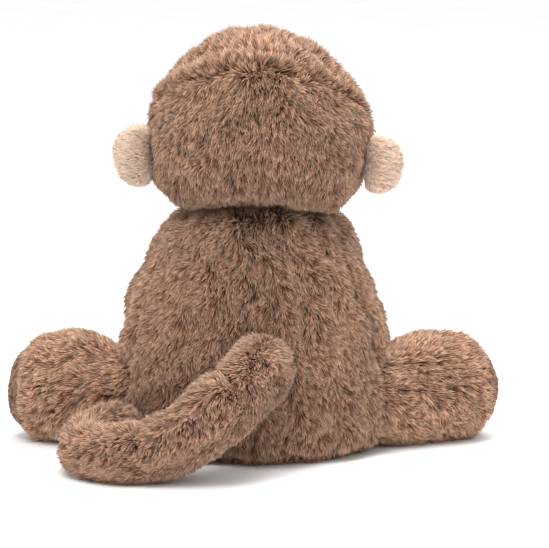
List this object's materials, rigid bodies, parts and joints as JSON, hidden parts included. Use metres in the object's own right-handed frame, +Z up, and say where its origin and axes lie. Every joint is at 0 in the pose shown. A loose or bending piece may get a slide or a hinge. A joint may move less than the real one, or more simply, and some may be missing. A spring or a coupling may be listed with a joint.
{
  "type": "stuffed monkey",
  "caption": "Sitting plush monkey of long brown pile with a pale face and ears, flopping head, arms and legs, and a long tail curled on the floor.",
  "frame": {"origin": "middle of the flat seat, on the surface the toy sits on", "axes": "+Z up, the toy faces -Y, its own left side is +X"},
  "size_m": [0.3732, 0.2587, 0.315],
  "materials": {
    "plush_brown": "long polyester pile, mid brown with lighter tips",
    "plush_dark": "short polyester pile, darker brown",
    "plush_pale": "short polyester pile, pale pinkish beige",
    "stuffing": "loose white polyester fibre",
    "pellets": "woven pouch of plastic pellets",
    "bead_black": "glossy black moulded bead",
    "washer": "moulded white washer",
    "thread": "dark brown embroidery thread"
  },
  "bodies": {
    "torso": {"seat_panel": "plush_brown", "back_left_panel": "plush_brown", "back_right_panel": "plush_brown", "belly_panel": "plush_brown", "torso_stuffing": "stuffing", "torso_bean_pouch": "pellets"},
    "neck": {"neck_stuffing": "stuffing"},
    "head": {"head_crown_panel": "plush_brown", "head_back_panel": "plush_brown", "face_panel": "plush_pale", "head_stuffing": "stuffing", "muzzle_panel": "plush_pale", "muzzle_stuffing": "stuffing", "nose_stitching": "thread", "mouth_stitching": "thread", "left_eye": "bead_black", "left_eye_washer": "washer", "right_eye": "bead_black", "right_eye_washer": "washer"},
    "tail": {"tail_upper_panel": "plush_brown", "tail_under_panel": "plush_brown", "tail_stuffing": "stuffing"},
    "left_ear": {"left_ear_back_panel": "plush_pale", "left_ear_front_panel": "plush_pale"},
    "left_arm": {"left_arm_outer_panel": "plush_brown", "left_arm_inner_panel": "plush_brown", "left_arm_stuffing": "stuffing"},
    "left_leg": {"left_leg_top_panel": "plush_brown", "left_leg_under_panel": "plush_brown", "left_sole_panel": "plush_dark", "left_leg_stuffing": "stuffing", "left_foot_bean_pouch": "pellets"},
    "right_ear": {"right_ear_back_panel": "plush_pale", "right_ear_front_panel": "plush_pale"},
    "right_arm": {"right_arm_outer_panel": "plush_brown", "right_arm_inner_panel": "plush_brown", "right_arm_stuffing": "stuffing"},
    "right_leg": {"right_leg_top_panel": "plush_brown", "right_leg_under_panel": "plush_brown", "right_sole_panel": "plush_dark", "right_leg_stuffing": "stuffing", "right_foot_bean_pouch": "pellets"}
  },
  "joints": [
    {"name": "neck_turn", "type": "hinge", "parent": "torso", "child": "neck", "pos_m": [-0.001, 0, 0.18], "axis": [0, -0.2924, 0.9563], "range_deg": [-30, 30]},
    {"name": "neck_nod", "type": "hinge", "parent": "neck", "child": "head", "pos_m": [-0.001, 0, 0.18], "axis": [1, 0, 0], "range_deg": [-12, 15]},
    {"name": "left_ear_fold", "type": "hinge", "parent": "head", "child": "left_ear", "pos_m": [0.0757, 0.022, 0.2242], "axis": [0.0349, 0, -0.9994], "range_deg": [-25, 35]},
    {"name": "right_ear_fold", "type": "hinge", "parent": "head", "child": "right_ear", "pos_m": [-0.0822, 0.022, 0.21869], "axis": [-0.0349, 0, 0.9994], "range_deg": [-25, 35]},
    {"name": "left_shoulder_lift", "type": "hinge", "parent": "torso", "child": "left_arm", "pos_m": [0.048, -0.0515, 0.153], "axis": [-0.6691, -0.7431, 0], "range_deg": [0, 65]},
    {"name": "right_shoulder_lift", "type": "hinge", "parent": "torso", "child": "right_arm", "pos_m": [-0.05, -0.0515, 0.153], "axis": [-0.8131, 0.5821, 0], "range_deg": [0, 65]},
    {"name": "left_hip_swing", "type": "hinge", "parent": "torso", "child": "left_leg", "pos_m": [0.098, 0.004, 0.036], "axis": [0, 0, -1], "range_deg": [-20, 6]},
    {"name": "right_hip_swing", "type": "hinge", "parent": "torso", "child": "right_leg", "pos_m": [-0.098, 0.004, 0.036], "axis": [0, 0, 1], "range_deg": [-20, 2]},
    {"name": "tail_swing", "type": "hinge", "parent": "torso", "child": "tail", "pos_m": [-0.004, 0.0855, 0.075], "axis": [0, 0, 1], "range_deg": [-2, 30]}
  ]
}
